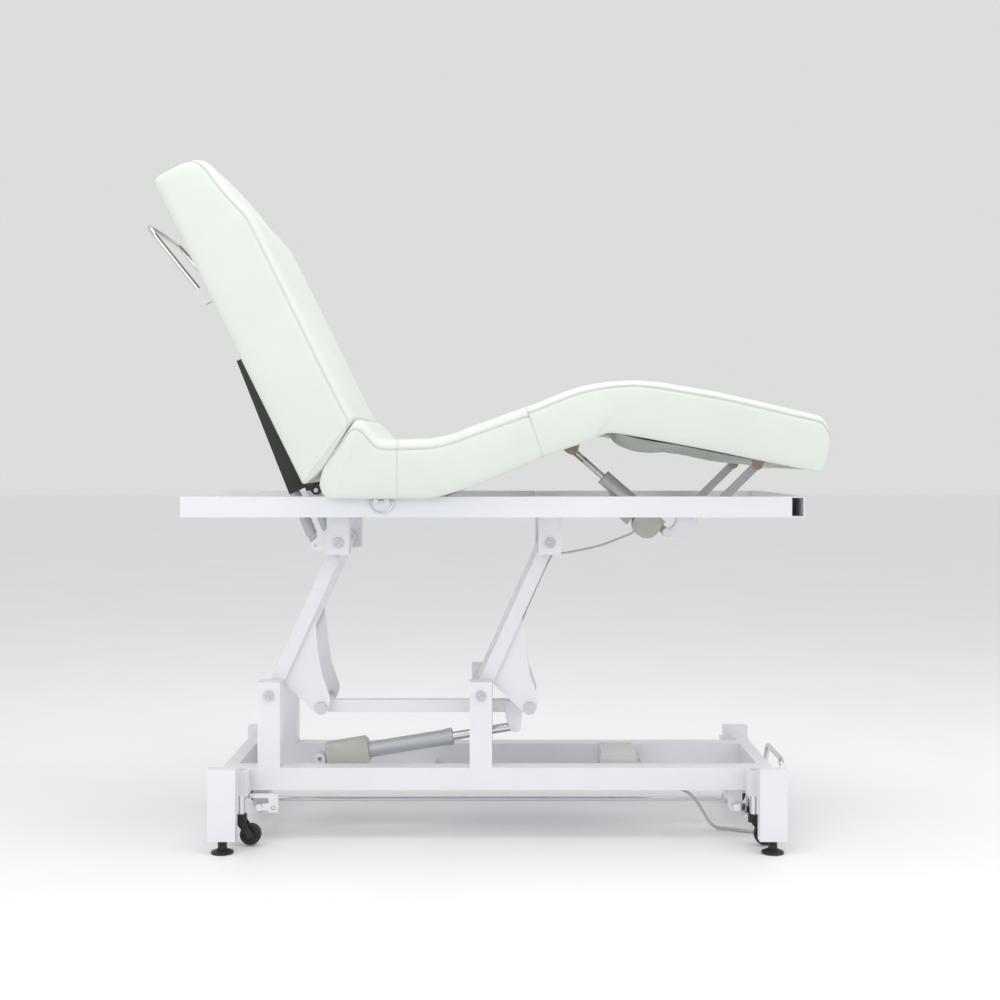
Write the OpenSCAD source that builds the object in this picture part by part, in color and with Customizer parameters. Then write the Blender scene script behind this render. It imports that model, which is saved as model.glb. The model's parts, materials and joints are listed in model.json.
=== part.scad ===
// Powered treatment bed for facials: a four-piece cushion top on a steel frame,
// carried by two pairs of leaning levers from a low base on levelling feet.
// Lengths in millimetres. +X is the foot end, -Y the user's right side, +Z is up.
// It is drawn at the top of its travel: back and leg rests raised, bed high.

/* [Cushions] */
// Width across the cushions
bed_width = 640; // [600:5:680]
// Incline of the back rest above level, in degrees
back_incline = 63.7; // [60:0.1:66]
// Incline of the thigh rest above level, in degrees
thigh_incline = 21.2; // [18:0.1:23]
// Decline of the calf rest below level, in degrees
calf_decline = 11.3; // [9:0.1:13]
// Thickness of the boards under the cushions
board_t = 12; // [9:0.5:15]

/* [Base] */
// Half the distance between the legs' centres along the bed
leg_x = 597; // [590:1:610]
// Half the distance between the legs' centres across the bed
leg_y = 270; // [265:1:280]
// Height of the legs' tops above the floor
leg_top = 184; // [180:1:190]
// Side of the square rail and post tubes
rail_s = 50; // [48:1:52]
// Wall of the steel tubes
wall = 2.5; // [1.5:0.1:3]
// Diameter of a levelling foot's disc
foot_d = 48; // [40:1:50]

/* [Lift] */
// Lean of the levers from upright, in degrees
lever_lean = 24.3; // [23:0.1:26]
// Distance between a lever's two pivots
lever_len = 375; // [370:1:380]
// Width of the lever tubes
lever_s = 30; // [28:1:32]
// Diameter of the pivot axles
axle_d = 16; // [14:0.5:18]
// Diameter of the lift drive's tube
lift_d = 36; // [34:1:40]

/* [Upper frame] */
// Height of the upper frame's rails
frame_h = 45; // [40:1:48]
// Level of the top of the upper frame
frame_top = 774; // [772:1:776]
// Diameter of the chrome push handle's rod
handle_d = 11; // [10:0.5:14]

/* [Casters] */
// Diameter of a caster wheel
wheel_d = 46; // [40:1:48]
// Trail of a caster wheel behind its stem
trail = 22; // [18:1:24]
// Diameter of a caster stem
stem_d = 20; // [18:0.5:20]

/* [Fit] */
// Radial clearance of the running fits
fit = 0.05; // [0.02:0.01:0.1]

/* [Hidden] */
$fn = 48;
place_x = 36;
half_w = bed_width / 2;
bore_d = axle_d + 2 * fit;
beam_x = 586;
post_foot = [-37.5, 325.5];
post_head = [-511.5, 325.5];
lever_a = [sin(lever_lean), cos(lever_lean)];
lever_r = [cos(lever_lean), -sin(lever_lean)];
top_foot = post_foot + lever_len * lever_a;
top_head = post_head + lever_len * lever_a;
tie_off = [110, -37];
tie_foot = post_foot + tie_off;
tie_head = post_head + tie_off;
lift_eye = [-407, 168];
lug_eye = [41, 241];
lift_y = -67;
lift_ang = atan2(lug_eye[1] - lift_eye[1], lug_eye[0] - lift_eye[0]);
back_h = [-397, 787];
thigh_h = [-123, 776];
thigh_l = 403;
knee = thigh_h + thigh_l * [cos(thigh_incline), sin(thigh_incline)];
calf_l = 447;
strut_low = [-408, 661.4];
strut_top = [240, -40];
link_low = [485.2, 750];
link_top = [335.5, -14];
leg_eye = [394.7, 683.4];
thigh_eye = [314.7, -15.9];
frame_low = frame_top - frame_h;
stem_x = 568;
stem_y = 205;
shaft_x = 535;
shaft_z = 74;
ring_z = 765;
axle_z = wheel_d / 2 + 3;

steel_white = [0.93, 0.94, 0.96];
plastic_white = [0.9, 0.91, 0.92];
leather_sage = [0.86, 0.89, 0.86];
black = [0.07, 0.07, 0.08];
chrome_c = [0.78, 0.79, 0.81];
silver_c = [0.68, 0.7, 0.72];
motor_beige = [0.77, 0.78, 0.74];
box_grey = [0.85, 0.86, 0.86];
cord_grey = [0.72, 0.73, 0.73];
board_grey = [0.6, 0.6, 0.58];

// ---- places on the tilting pieces, as [x, z] ----

function on_back(u, v) = back_h + [-u * cos(back_incline) + v * sin(back_incline),
    u * sin(back_incline) + v * cos(back_incline)];
function on_thigh(u, w) = thigh_h + [u * cos(thigh_incline) - w * sin(thigh_incline),
    u * sin(thigh_incline) + w * cos(thigh_incline)];
function on_calf(u, w) = knee + [u * cos(calf_decline) + w * sin(calf_decline),
    -u * sin(calf_decline) + w * cos(calf_decline)];
function on_lever(p, s, r) = p + s * lever_a + r * lever_r;
function along(p, q, s, n) = let (d = (q - p) / norm(q - p)) p + s * d + n * [-d[1], d[0]];
function backs(list) = [for (p = list) on_back(p[0], p[1])];
function thighs(list) = [for (p = list) on_thigh(p[0], p[1])];
function calves(list) = [for (p = list) on_calf(p[0], p[1])];
function levers(c, list) = [for (p = list) on_lever(c, p[0], p[1])];
function alongs(a, b, list) = [for (p = list) along(a, b, p[0], p[1])];

// ---- smooth tubes for the cords ----

function bend(a, b, c, d, t) = 0.5 * (2 * b + (c - a) * t + (2 * a - 5 * b + 4 * c - d) * t * t
    + (3 * b - a - 3 * c + d) * t * t * t);
function with_ends(p) = concat([2 * p[0] - p[1]], p, [2 * p[len(p) - 1] - p[len(p) - 2]]);
function smooth(p, n) = let (q = with_ends(p)) concat(
    [for (i = [0:len(p) - 2]) for (k = [0:n - 1]) bend(q[i], q[i + 1], q[i + 2], q[i + 3], k / n)],
    [p[len(p) - 1]]);
function unit(v) = v / norm(v);
function heading(c, i) = unit(c[min(i + 1, len(c) - 1)] - c[max(i - 1, 0)]);
function carried(n, t) = unit(n - t * (n * t));
function sides_of(c, i, n) = i == len(c) ? []
    : let (m = carried(n, heading(c, i))) concat([m], sides_of(c, i + 1, m));

module cord_tube(points, steps, d, sides = 8, first = [0, 0, 1]) {
    c = smooth(points, steps);
    f = sides_of(c, 0, first);
    last = (len(c) - 1) * sides;
    rings = [for (i = [0:len(c) - 1]) let (t = heading(c, i), a = f[i], b = cross(t, a))
        for (k = [0:sides - 1]) c[i] + d / 2 * (cos(360 * k / sides) * a + sin(360 * k / sides) * b)];
    skin = [for (i = [0:len(c) - 2]) for (k = [0:sides - 1]) let (m = (k + 1) % sides, o = i * sides)
        each [[o + k, o + sides + k, o + sides + m], [o + k, o + sides + m, o + m]]];
    caps = [[for (k = [0:sides - 1]) k], [for (k = [sides - 1:-1:0]) last + k]];
    polyhedron(points = rings, faces = concat(skin, caps), convexity = 10);
}

// ---- plain shapes ----

module placed() {
    translate([place_x, 0, 0]) children();
}

module both() {
    children();
    mirror([0, 1, 0]) children();
}

module box(x0, x1, y0, y1, z0, z1) {
    translate([x0, y0, z0]) cube([x1 - x0, y1 - y0, z1 - z0]);
}

module hollow_x(x0, x1, y0, y1, z0, z1) {
    difference() {
        box(x0, x1, y0, y1, z0, z1);
        box(x0 - 1, x1 + 1, y0 + wall, y1 - wall, z0 + wall, z1 - wall);
    }
}

module hollow_y(x0, x1, y0, y1, z0, z1) {
    difference() {
        box(x0, x1, y0, y1, z0, z1);
        box(x0 + wall, x1 - wall, y0 - 1, y1 + 1, z0 + wall, z1 - wall);
    }
}

module hollow_z(x0, x1, y0, y1, z0, z1) {
    difference() {
        box(x0, x1, y0, y1, z0, z1);
        box(x0 + wall, x1 - wall, y0 + wall, y1 - wall, z0 - 1, z1 + 1);
    }
}

module slab(points, y0, y1) {
    translate([0, y1, 0]) rotate([90, 0, 0]) linear_extrude(y1 - y0) polygon(points);
}

module pin(c, d, y0, y1) {
    translate([c[0], y1, c[1]]) rotate([90, 0, 0]) cylinder(d = d, h = y1 - y0);
}

module post(x, y, d, z0, z1) {
    translate([x, y, z0]) cylinder(d = d, h = z1 - z0);
}

module rod(p, q, d) {
    v = q - p;
    translate(p) rotate([0, acos(v[2] / norm(v)), atan2(v[1], v[0])]) cylinder(d = d, h = norm(v));
}

module flat_rod(p, q, y, d) {
    rod([p[0], y, p[1]], [q[0], y, q[1]], d);
}

module plate_link(p, q, r, y0, y1) {
    hull() {
        pin(p, 2 * r, y0, y1);
        pin(q, 2 * r, y0, y1);
    }
}

// ---- base ----

module base_frame() {
    color(steel_white) placed() {
        both() hollow_x(-beam_x, beam_x, 120, 170, 115, 165);
        for (s = [-1, 1]) {
            x0 = s > 0 ? beam_x : -beam_x - 30;
            hollow_y(x0, x0 + 30, -255, 255, 115, 165);
        }
    }
}

module corner_legs() {
    color(steel_white) placed() for (s = [-1, 1], t = [-1, 1]) translate([s * leg_x, t * leg_y, 0])
        difference() {
            box(-30, 30, -15, 15, 28, leg_top - 2);
            box(-30 + wall, 30 - wall, -15 + wall, 15 - wall, 32, leg_top);
            post(0, 0, 12 + 2 * fit, 20, 40);
        }
}

module tube_caps() {
    color(plastic_white) placed() {
        for (s = [-1, 1], t = [-1, 1]) translate([s * leg_x, t * leg_y, 0]) {
            box(-30, 30, -15, 15, leg_top - 2, leg_top);
            box(-27, 27, -12, 12, leg_top - 12, leg_top - 2);
        }
        for (c = [post_foot, post_head], t = [-1, 1]) translate([c[0], t * 145, 0]) {
            box(-25, 25, -25, 25, 353, 356);
            box(-21.5, 21.5, -21.5, 21.5, 345, 353);
        }
    }
}

module levelling_feet() {
    color(black) placed() for (s = [-1, 1], t = [-1, 1]) translate([s * leg_x, t * leg_y, 0]) {
        cylinder(d = foot_d, h = 5);
        translate([0, 0, 5]) cylinder(d1 = foot_d, d2 = 24, h = 5);
        translate([0, 0, 10]) cylinder(d = 20, h = 10);
        translate([0, 0, 20]) cylinder(d = 12, h = 28);
        translate([0, 0, 21]) cylinder(d = 21, h = 7, $fn = 6);
    }
}

module caster_sleeves() {
    color(steel_white) placed() for (s = [-1, 1], t = [-1, 1]) difference() {
        x0 = s > 0 ? beam_x - 35 : -beam_x;
        box(x0, x0 + 35, t * stem_y - 17, t * stem_y + 17, 113, 168);
        post(s * stem_x, t * stem_y, stem_d + 2 * fit, 100, 180);
    }
}

module lift_posts() {
    color(steel_white) placed() for (c = [post_foot, post_head]) both() difference() {
        hollow_z(c[0] - 25, c[0] + 25, 120, 170, 165, 353);
        pin(c, bore_d, 100, 190);
    }
}

module lower_axles() {
    color(silver_c) placed() for (c = [post_foot, post_head]) {
        pin(c, axle_d, -171, 171);
        both() pin(c, 22, 171, 176);
    }
}

module cable_tray() {
    color(steel_white) placed() difference() {
        box(-150, 345, -120, 120, 115, 127);
        box(-148, 343, -118, 118, 117, 130);
    }
}

module control_box() {
    color(box_grey) placed() {
        hull() {
            box(237, 323, -50, 74, 117, 160);
            box(241, 319, -46, 70, 160, 177);
        }
        for (y = [-30, 12, 54]) box(323, 335, y - 9, y + 9, 126, 142);
        box(225, 237, -34, -18, 124, 138);
        for (x = [248, 312], y = [-38, 62]) post(x, y, 7, 176, 178.5);
    }
}

module base_brackets() {
    color(steel_white) placed() {
        difference() {
            union() {
                box(-440, -376, -120, 120, 117, 123);
                for (y = [lift_y - 20, lift_y + 16]) {
                    pin(lift_eye, 26, y, y + 4);
                    box(lift_eye[0] - 13, lift_eye[0] + 13, y, y + 4, 122, lift_eye[1]);
                }
            }
            pin(lift_eye, 10 + 2 * fit, lift_y - 30, lift_y + 30);
        }
        for (s = [-1, 1]) both() difference() {
            union() {
                box(s * shaft_x - 16, s * shaft_x + 16, 137, 143, shaft_z, 115);
                pin([s * shaft_x, shaft_z], 28, 137, 143);
            }
            pin([s * shaft_x, shaft_z], bore_d, 120, 150);
        }
    }
}

module tray_cable() {
    color(cord_grey) placed() {
        cord_tube([[-300, -32, 141], [-270, -20, 136], [-235, -3, 131], [-190, 14, 131],
            [-150, 20, 131], [-100, 8, 131], [-20, 10, 131], [60, 18, 131], [115, -8, 128],
            [160, -20, 122], [205, -24, 128], [224, -26, 131]], 6, 6);
        translate([-10, -36, 117]) linear_extrude(14) difference() {
            hull() {
                translate([-72, 0]) circle(d = 56);
                translate([72, 0]) circle(d = 56);
            }
            hull() {
                translate([-72, 0]) circle(d = 22);
                translate([72, 0]) circle(d = 22);
            }
        }
    }
}

module at_hank() {
    translate([648, 0, 0]) rotate([0, 0, -10]) children();
}

module mains_cord() {
    color(cord_grey) placed() {
        cord_tube([[336, -30, 134], [352, -44, 132], [366, -64, 126], [388, -84, 113], [412, -96, 104],
            [434, -99, 94], [452, -96, 76], [468, -92, 52], [484, -84, 26], [502, -72, 9],
            [524, -64, 4.2], [545, -75, 4], [568, -88, 4], [584, -95, 4], [597, -95, 4],
            [607, -87, 4], [612, -74, 4]], 5, 7);
        at_hank() cord_tube([[-22, 79, 15.5], [-18, 90, 8], [-14, 102, 4.5], [-9, 116, 5],
            [-5, 128, 10], [-3, 138, 13.5], [-3, 145, 14.4]], 4, 7);
    }
}

module mains_hank() {
    color(cord_grey) placed() at_hank() translate([0, 0, 0.4]) linear_extrude(21.6) difference() {
        hull() {
            translate([0, -60]) circle(d = 52);
            translate([0, 60]) circle(d = 52);
        }
        hull() {
            translate([0, -60]) circle(d = 38);
            translate([0, 60]) circle(d = 38);
        }
    }
}

module mains_plug() {
    color(cord_grey) placed() at_hank() {
        translate([-3, 146, 14.4]) rotate([-90, 0, 0]) cylinder(d1 = 18, d2 = 28, h = 12);
        translate([-3, 158, 14.4]) rotate([-90, 0, 0]) cylinder(d = 28, h = 24);
        for (x = [-12.5, 6.5]) translate([x, 182, 14.4]) rotate([-90, 0, 0]) cylinder(d = 4.8, h = 19);
    }
}

// ---- levers and tie bar ----

module lever(c) {
    plate = levers(c, [[196, 14], [170, 31], [130, 53], [82, 85], [44, 121], [34, 128],
        [18, 131], [2, 129], [-6, 118], [-4, 107], [29, 14]]);
    both() {
        difference() {
            union() {
                slab(levers(c, [[0, -15], [lever_len, -15], [lever_len, 15], [0, 15]]), 88, 118);
                pin(c, 30, 88, 118);
                pin(c + lever_len * lever_a, 30, 88, 118);
            }
            slab(levers(c, [[22, -12], [lever_len - 22, -12], [lever_len - 22, 12], [22, 12]]), 91, 115);
            pin(c, bore_d, 80, 125);
            pin(c + lever_len * lever_a, bore_d, 80, 125);
        }
        difference() {
            slab(plate, 100, 106);
            slab(levers(c, [[-20, -20], [240, -20], [240, 15], [-20, 15]]), 95, 110);
            pin(c + tie_off, 16 + 2 * fit, 90, 115);
        }
    }
}

module tie_pin(c) {
    color(silver_c) placed() {
        pin(c + tie_off, 16, -107, 107);
        both() pin(c + tie_off, 26, 107, 113);
    }
}

module foot_lever() {
    color(steel_white) placed() lever(post_foot);
}

module head_lever() {
    color(steel_white) placed() lever(post_head);
}

module foot_tie_pin() {
    tie_pin(post_foot);
}

module head_tie_pin() {
    tie_pin(post_head);
}

module lever_cable() {
    a = on_lever(post_foot, 345, 19);
    b = on_lever(post_foot, 300, 18);
    c = on_lever(post_foot, 225, 18);
    color(cord_grey) placed() cord_tube([[a[0] + 4, -84, a[1] + 6], [b[0], -84, b[1]], [c[0], -84, c[1]],
        [c[0] - 30, -84, c[1] - 70], [on_lever(post_foot, 80, 4)[0], -84, on_lever(post_foot, 80, 4)[1]],
        [on_lever(post_foot, 36, -6)[0], -84, on_lever(post_foot, 36, -6)[1]]], 5, 5);
}

module tie_bar() {
    color(steel_white) placed() difference() {
        union() {
            hollow_x(tie_head[0] + 12, tie_foot[0] - 12, lift_y - 12.5, lift_y + 12.5, 274.5, 302.5);
            for (c = [tie_head, tie_foot]) pin(c, 30, lift_y - 12.5, lift_y + 12.5);
            for (y = [lift_y - 16.5, lift_y + 12.5]) slab([[18, 300], [18, 262], [29, 236],
                [34, 230], [41, 228], [48, 230], [54, 238], [55, 262], [55, 300]], y, y + 4);
            pin(lug_eye, 10, lift_y - 18, lift_y + 18);
        }
        for (c = [tie_head, tie_foot]) pin(c, 16 + 2 * fit, lift_y - 20, lift_y + 20);
        box(tie_head[0], tie_head[0] + 13, lift_y - 10, lift_y + 10, 285, 292);
    }
}

// ---- lift drive ----

module lift_gearbox() {
    color(motor_beige) placed() difference() {
        union() {
            slab(alongs(lift_eye, lug_eye, [[16, -30], [106, -30], [113, -23], [113, 23], [106, 30], [16, 30]]),
                lift_y - 26, lift_y + 26);
            slab(alongs(lift_eye, lug_eye, [[0, -11], [18, -11], [18, 11], [0, 11]]), lift_y - 13, lift_y + 13);
            pin(lift_eye, 22, lift_y - 13, lift_y + 13);
            for (s = [28, 100], n = [-22, 22]) pin(along(lift_eye, lug_eye, s, n), 8, lift_y - 28.5, lift_y + 28.5);
        }
        pin(lift_eye, 10 + 2 * fit, lift_y - 40, lift_y + 40);
        flat_rod(along(lift_eye, lug_eye, 90, 0), along(lift_eye, lug_eye, 120, 0), lift_y, lift_d - 4);
    }
    color(silver_c) placed() pin(lift_eye, 10, lift_y - 13, lift_y + 13);
}

module lift_tube() {
    color(silver_c) placed() difference() {
        union() {
            flat_rod(along(lift_eye, lug_eye, 113, 0), along(lift_eye, lug_eye, 306, 0), lift_y, lift_d);
            flat_rod(along(lift_eye, lug_eye, 290, 0), along(lift_eye, lug_eye, 308, 0), lift_y, lift_d + 3);
        }
        flat_rod(along(lift_eye, lug_eye, 100, 0), along(lift_eye, lug_eye, 320, 0), lift_y, lift_d - 6);
    }
}

module lift_rod() {
    color(chrome_c) placed() difference() {
        union() {
            flat_rod(along(lift_eye, lug_eye, 250, 0), along(lift_eye, lug_eye, 444, 0), lift_y, 20);
            pin(lug_eye, 24, lift_y - 11, lift_y + 11);
        }
        pin(lug_eye, 10 + 2 * fit, lift_y - 20, lift_y + 20);
    }
}

// ---- upper frame ----

module frame_rails() {
    color(steel_white) placed() {
        both() hollow_x(-685, 635, 250, 280, frame_low, frame_top);
        hollow_y(635, 665, -280, 280, frame_low, frame_top);
        box(-683, -653, -250, 250, frame_low, frame_low + 8);
        for (y = [-280, 277]) box(-687, -685, y == -280 ? -280 : 250, y == -280 ? -250 : 280, frame_low, frame_top);
        for (x = [-263, -239]) difference() {
            box(x - 5, x + 5, -288, -280, ring_z - 6, ring_z + 4);
            translate([x - 6, -284, ring_z]) rotate([0, 90, 0]) cylinder(d = 3 + 2 * fit, h = 12);
        }
    }
}

module frame_crossbars() {
    color(steel_white) placed() {
        for (x = [top_head[0], top_foot[0]]) hollow_y(x - 25, x + 25, -250, 250, frame_low, frame_top);
        box(418, 500, -250, 250, frame_low, frame_low + 6);
    }
}

module top_brackets() {
    color(steel_white) placed() both() {
        for (c = [top_foot, top_head]) difference() {
            hollow_z(c[0] - 25, c[0] + 25, 120, 170, 641, frame_low);
            pin(c, bore_d, 100, 190);
        }
        difference() {
            for (y = [139, 157]) {
                pin(strut_low, 22, y, y + 4);
                slab([[-382.2, 700], [-382.2, 646], [-410, 650.6], [-416, 669]], y, y + 4);
            }
            pin(strut_low, 8 + 2 * fit, 130, 170);
        }
    }
}

module upper_axles() {
    color(silver_c) placed() {
        for (c = [top_foot, top_head]) {
            pin(c, axle_d, -171, 171);
            both() pin(c, 22, 171, 176);
        }
        both() pin(strut_low, 8, 138, 162);
    }
}

module leg_drive_bracket() {
    hook = [[418, 729], [418, 709], [411, 698], [403, 692.5], [400, 673.5], [418, 671.5], [436, 674],
        [452, 683], [463, 698], [468, 714], [468, 729]];
    color(steel_white) placed() {
        difference() {
            for (y = [-14, 10]) {
                pin(leg_eye, 22, y, y + 4);
                slab(hook, y, y + 4);
            }
            pin(leg_eye, 10 + 2 * fit, -20, 20);
        }
        both() difference() {
            for (y = [167, 183]) {
                slab([[470, 735], [500, 735], [496, 752], [474, 752]], y, y + 4);
                pin(link_low, 22, y, y + 4);
            }
            pin(link_low, 10 + 2 * fit, 160, 190);
        }
    }
    color(silver_c) placed() {
        pin(leg_eye, 10, -16, 16);
        for (y = [-19, 16]) pin(leg_eye, 18, y, y + 3);
        both() pin(link_low, 10, 166, 188);
    }
}

module back_hinges() {
    color(steel_white) placed() both() {
        difference() {
            slab([[-382.2, 730], [-382.2, 783], [-389, 795], [-397, 797], [-405, 794], [-407, 786],
                [-400, 770], [-392, 742], [-388, 730]], 222, 230);
            pin(back_h, 10 + 2 * fit, 215, 240);
        }
        difference() {
            union() {
                box(-190, -130, 200, 213, 771, 774);
                pin(thigh_h - [0, 4], 13, 200, 213);
                box(-190, -130, 227, 240, 771, 774);
                pin(thigh_h - [0, 4], 13, 227, 240);
            }
            pin(thigh_h - [0, 4], 6 + 2 * fit, 190, 250);
            box(-140, -100, 190, 250, 774, 790);
        }
    }
    color(silver_c) placed() both() {
        pin(back_h, 10, 221, 246);
    }
}

module seat_board() {
    color(board_grey) placed() box(-345, -133, -283, 283, frame_top, frame_top + board_t);
}

module seat_cushion() {
    seat = [[-356, 770], [-379, 790], [-369, 832], [-316, 912], [-300, 936], [-290, 933],
        [-272, 910], [-255, 899], [-190, 901], [-124, 903], [-124, 770]];
    color(leather_sage) placed() difference() {
        slab(seat, -half_w, half_w);
        slab([[-400, 760], [-400, 786], [-100, 786], [-100, 760]], -284, 284);
    }
}

module motor_cable() {
    color(cord_grey) placed() cord_tube([[318, -37, 688], [306, -38, 680], [280, -44, 670], [240, -54, 656],
        [196, -64, 646], [160, -74, 640], [138, -84, 638], [133, -84, 637]], 5, 5);
}

// ---- back rest ----

module back_board() {
    color(board_grey) placed() slab(backs([[24, -12], [745, -12], [745, 0], [24, 0]]), -300, 300);
}

module back_cushion() {
    rest = [[19, -12], [31, 40], [101, 152], [580, 152], [600, 149], [654, 132], [716, 119],
        [738, 112], [750, 98], [753, 60], [752, -4], [746, -12]];
    color(leather_sage) placed() difference() {
        slab(backs(rest), -half_w, half_w);
        slab(backs([[0, -20], [746, -20], [746, 0.2], [0, 0.2]]), -301, 301);
    }
}

module back_channels() {
    color(black) placed() both() {
        difference() {
            for (y = [130.5, 165.5]) slab(backs([[20, -12], [340, -12], [340, -40], [20, -66]]), y, y + 4);
            pin(on_back(strut_top[0], strut_top[1]), 8 + 2 * fit, 120, 180);
        }
        slab(backs([[20, -12], [200, -12], [200, -15], [20, -15]]), 134.5, 165.5);
        difference() {
            slab(backs([[-7, -8], [-10, 0], [-7, 8], [0, 11], [7, 8], [13, -5], [21, -12], [100, -12],
                [100, -18], [26, -20], [10, -14], [0, -11]]), 232, 240);
            pin(back_h, 10 + 2 * fit, 220, 250);
        }
        pin(on_back(strut_top[0], strut_top[1]), 8, 129, 171);
    }
}

module handle_brackets() {
    a = on_back(477.45, -34.65);
    b = on_back(530.2, -46.4);
    color(steel_white) placed() both() difference() {
        slab(backs([[482, -12], [520, -12], [520, -54], [510, -56], [486, -50], [482, -46]]), 165, 185);
        rod([a[0], 175, a[1]], [b[0], 175, b[1]], handle_d + 2 * fit);
    }
}

module push_handle() {
    foot = on_back(488, -37);
    tip = on_back(699, -84);
    lean = atan2(tip[1] - foot[1], tip[0] - foot[0]);
    reach = norm(tip - foot);
    r = 34;
    color(chrome_c) placed() translate([foot[0], 0, foot[1]]) rotate([0, -lean, 0]) {
        both() {
            rod([0, 175, 0], [reach - r, 175, 0], handle_d);
            translate([reach - r, 175 - r, 0]) rotate_extrude(angle = 90) translate([r, 0]) circle(d = handle_d);
        }
        rod([reach, r - 175, 0], [reach, 175 - r, 0], handle_d);
    }
}

module strut_tubes() {
    low = strut_low;
    top = on_back(strut_top[0], strut_top[1]);
    color(silver_c) placed() both() difference() {
        union() {
            flat_rod(along(low, top, 25, 0), along(low, top, 215, 0), 150, 25);
            slab(alongs(low, top, [[0, -7], [27, -9], [27, 9], [0, 7]]), 143.5, 156.5);
            pin(low, 19, 143.5, 156.5);
        }
        flat_rod(along(low, top, 40, 0), along(low, top, 230, 0), 150, 20);
        pin(low, 8 + 2 * fit, 130, 170);
    }
}

module strut_rods() {
    low = strut_low;
    top = on_back(strut_top[0], strut_top[1]);
    full = norm(top - low);
    color(black) placed() both() difference() {
        union() {
            flat_rod(along(low, top, full - 168, 0), along(low, top, full - 8, 0), 150, 8);
            pin(top, 19, 143.5, 156.5);
        }
        pin(top, 8 + 2 * fit, 130, 170);
    }
}

// ---- leg rest ----

module thigh_board() {
    eye = on_thigh(thigh_eye[0], thigh_eye[1]);
    low = [0, -4];
    color(board_grey) placed() {
        slab(thighs([[12, 0], [392, 0], [392, board_t], [12, board_t]]), -283, 283);
    }
    color(steel_white) placed() {
        both() difference() {
            union() {
                slab([for (p = [[0, -6], [70, -6], [70, -4], [8, -4], [0, -2]]) thigh_low(p)], 214, 226);
                slab([for (p = [[8, -6], [70, -6], [70, 0], [12, 0]]) thigh_low(p)], 214, 226);
                pin(thigh_h - [0, 4], 13, 214, 226);
            }
            pin(thigh_h - [0, 4], 6 + 2 * fit, 200, 240);
        }
        both() pin(thigh_h - [0, 4], 6, 199, 241);
        both() difference() {
            union() {
                slab(thighs([[340, -3], [398, -3], [398, 0], [340, 0]]), 214, 226);
                pin(knee, 13, 214, 226);
            }
            pin(knee, 6 + 2 * fit, 200, 240);
        }
        both() pin(knee, 6, 199, 241);
    }
    color(steel_white) placed() {
        difference() {
            for (y = [-14, 10]) {
                slab(thighs([[290, 0], [340, 0], [326, -20], [303, -20]]), y, y + 4);
                pin(eye, 22, y, y + 4);
            }
            slab(thighs([[280, 0], [350, 0], [350, 20], [280, 20]]), -20, 20);
            pin(eye, 10 + 2 * fit, -20, 20);
        }
        pin(eye, 10, -16, 16);
    }
}

function thigh_low(p) = thigh_h - [0, 4] + [p[0] * cos(thigh_incline) - (p[1] + 3) * sin(thigh_incline),
    p[0] * sin(thigh_incline) + (p[1] + 3) * cos(thigh_incline)];

module thigh_cushion() {
    rest = [[4, -8], [4, 0], [49, 116], [70, 117], [182, 115], [274, 114], [366, 115],
        [388, 112], [400, 106], [401, 0], [394, -9]];
    color(leather_sage) placed() difference() {
        slab(thighs(rest), -half_w, half_w);
        slab(thighs([[-20, -20], [420, -20], [420, board_t + 0.2], [-20, board_t + 0.2]]), -284, 284);
    }
}

module calf_board() {
    top = on_calf(link_top[0], link_top[1]);
    color(board_grey) placed() slab(calves([[12, 0], [440, 0], [440, board_t], [12, board_t]]), -283, 283);
    color(steel_white) placed() both() {
        difference() {
            for (y = [167, 183]) {
                slab(calves([[320, 0], [351, 0], [345, -16], [326, -16]]), y, y + 4);
                pin(top, 22, y, y + 4);
            }
            slab(calves([[300, 0], [370, 0], [370, 10], [300, 10]]), 160, 195);
            pin(top, 10 + 2 * fit, 160, 195);
        }
        pin(top, 10, 166, 188);
        for (y = [200, 227]) difference() {
            union() {
                slab(calves([[5, -3], [60, -3], [60, 0], [5, 0]]), y, y + 13);
                pin(knee, 13, y, y + 13);
            }
            pin(knee, 6 + 2 * fit, y - 1, y + 14);
        }
    }
}

module calf_cushion() {
    rest = [[2, 4], [2, 104], [12, 109], [50, 117], [116, 121], [290, 121], [377, 119],
        [426, 118], [442, 110], [453, 91], [458, 54], [456, 11], [447, -3], [436, -4], [20, -4]];
    color(leather_sage) placed() difference() {
        slab(calves(rest), -half_w, half_w);
        slab(calves([[-10, -20], [441, -20], [441, board_t + 0.2], [-10, board_t + 0.2]]), -284, 284);
    }
}

module calf_links() {
    top = along(link_low, on_calf(link_top[0], link_top[1]), 132.1, 0);
    color(silver_c) placed() both() difference() {
        union() {
            slab(alongs(link_low, top, [[0, -9], [132.1, -9], [132.1, 9], [0, 9]]), 172, 182);
            pin(link_low, 20, 172, 182);
            pin(top, 24, 172, 182);
        }
        pin(link_low, 10 + 2 * fit, 160, 190);
        pin(top, 17, 160, 190);
    }
}

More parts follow.
